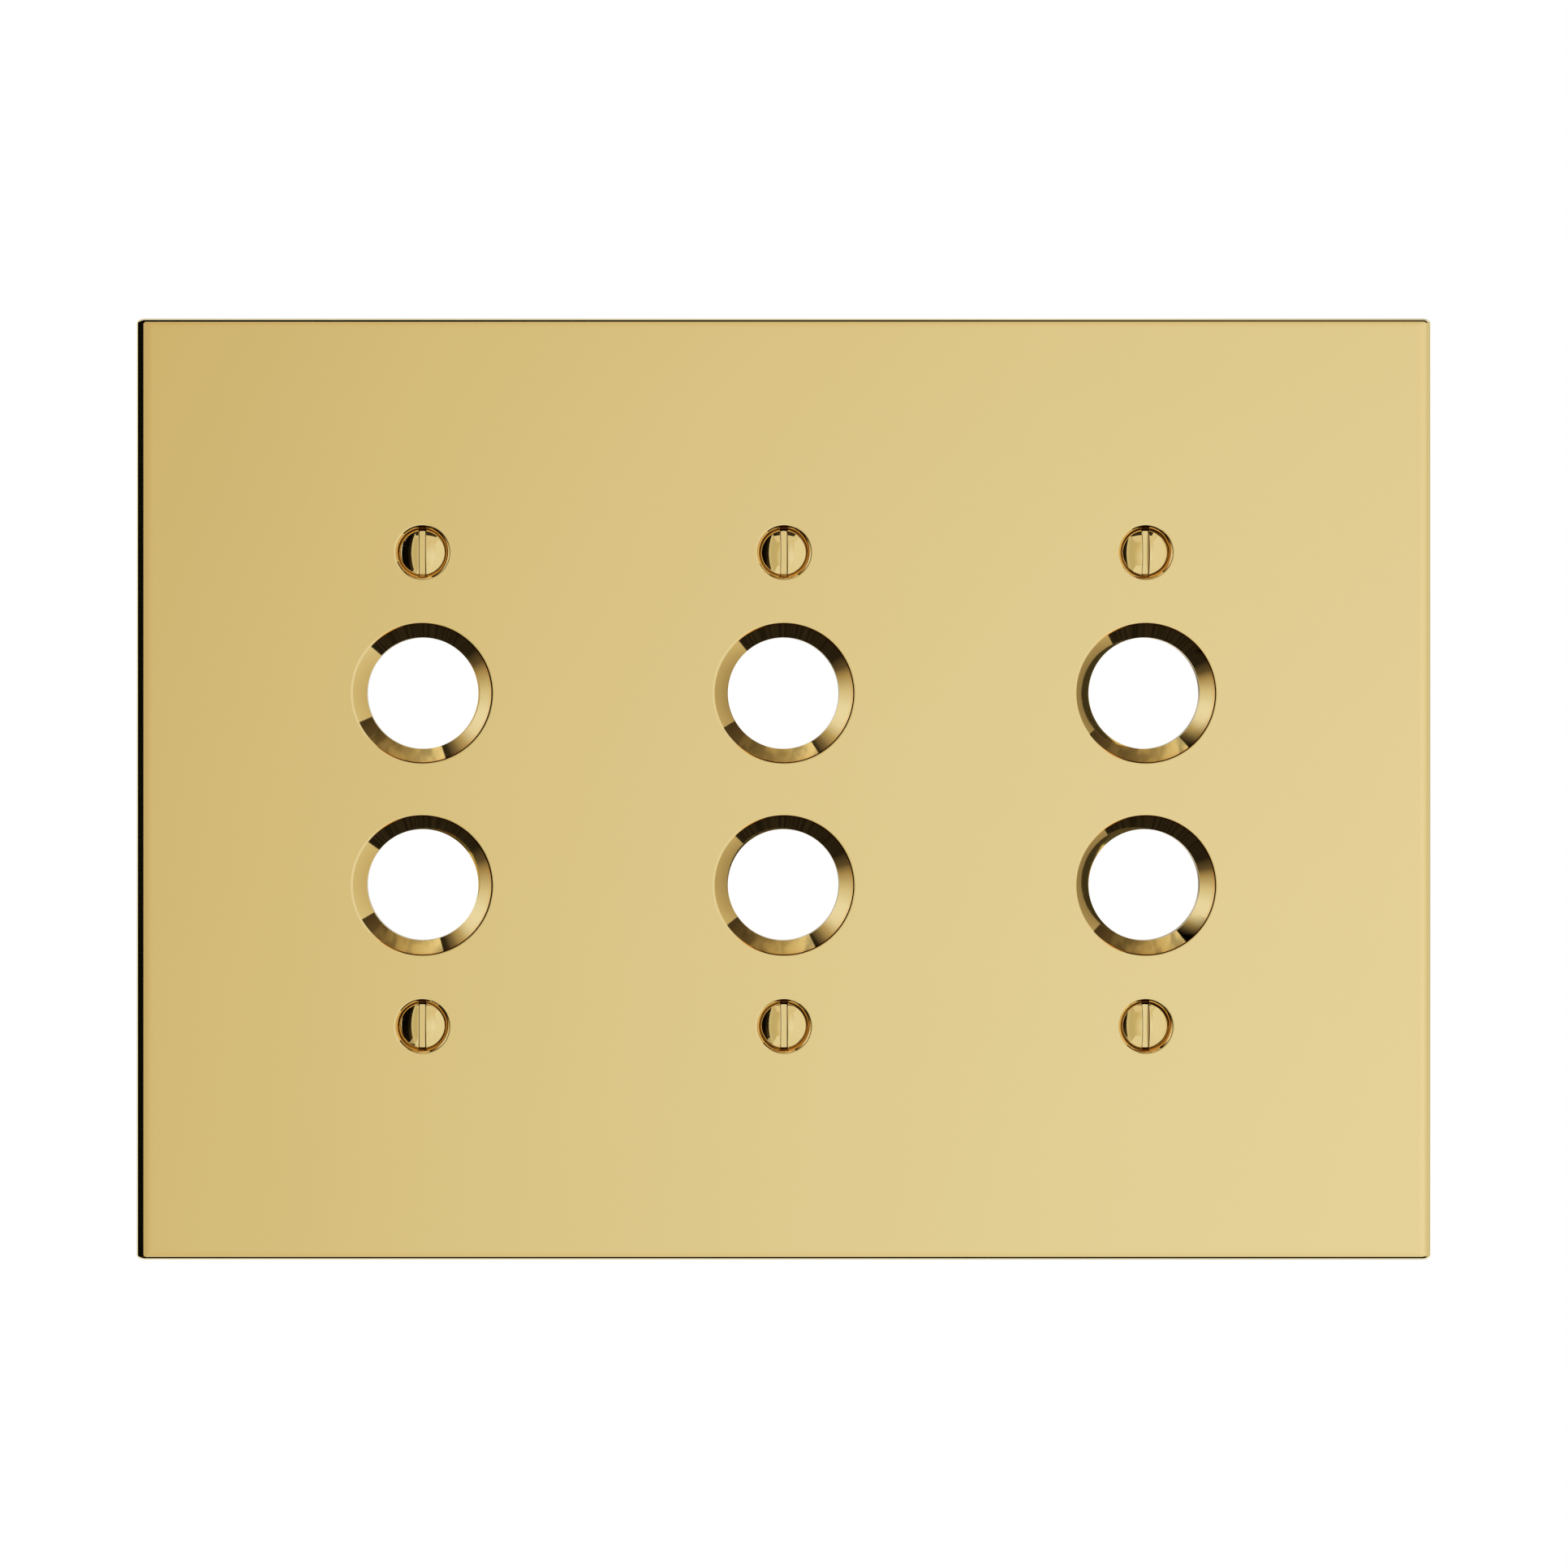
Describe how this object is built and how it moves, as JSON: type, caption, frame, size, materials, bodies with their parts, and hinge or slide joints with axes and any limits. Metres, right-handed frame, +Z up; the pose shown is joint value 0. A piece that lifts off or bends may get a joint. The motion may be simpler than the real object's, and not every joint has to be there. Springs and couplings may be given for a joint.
{
  "type": "push-button switch wall plate",
  "caption": "Rectangular polished brass wall plate for push-button light switches, with countersunk round button holes and slotted oval-head screws.",
  "frame": {"origin": "centre of the plate's back face, which lies on the wall", "axes": "+Z up the wall, +X to the right seen from the room, front face towards -Y, screws pointing along +Y into the wall"},
  "size_m": [0.165, 0.0167, 0.12],
  "materials": {
    "plate_brass": "polished",
    "screw_brass": "polished"
  },
  "bodies": {
    "plate": {"plate": "plate_brass"},
    "screw_top_left": {"screw_top_left": "screw_brass"},
    "screw_top_middle": {"screw_top_middle": "screw_brass"},
    "screw_top_right": {"screw_top_right": "screw_brass"},
    "screw_bottom_left": {"screw_bottom_left": "screw_brass"},
    "screw_bottom_middle": {"screw_bottom_middle": "screw_brass"},
    "screw_bottom_right": {"screw_bottom_right": "screw_brass"}
  },
  "joints": [
    {"name": "screw_top_left_turn", "type": "hinge", "parent": "plate", "child": "screw_top_left", "pos_m": [-0.04604, 0, 0.03016], "axis": [0, 1, 0], "continuous": true},
    {"name": "screw_top_middle_turn", "type": "hinge", "parent": "plate", "child": "screw_top_middle", "pos_m": [0, 0, 0.03016], "axis": [0, 1, 0], "continuous": true},
    {"name": "screw_top_right_turn", "type": "hinge", "parent": "plate", "child": "screw_top_right", "pos_m": [0.04604, 0, 0.03016], "axis": [0, 1, 0], "continuous": true},
    {"name": "screw_bottom_left_turn", "type": "hinge", "parent": "plate", "child": "screw_bottom_left", "pos_m": [-0.04604, 0, -0.03016], "axis": [0, 1, 0], "continuous": true},
    {"name": "screw_bottom_middle_turn", "type": "hinge", "parent": "plate", "child": "screw_bottom_middle", "pos_m": [0, 0, -0.03016], "axis": [0, 1, 0], "continuous": true},
    {"name": "screw_bottom_right_turn", "type": "hinge", "parent": "plate", "child": "screw_bottom_right", "pos_m": [0.04604, 0, -0.03016], "axis": [0, 1, 0], "continuous": true}
  ]
}
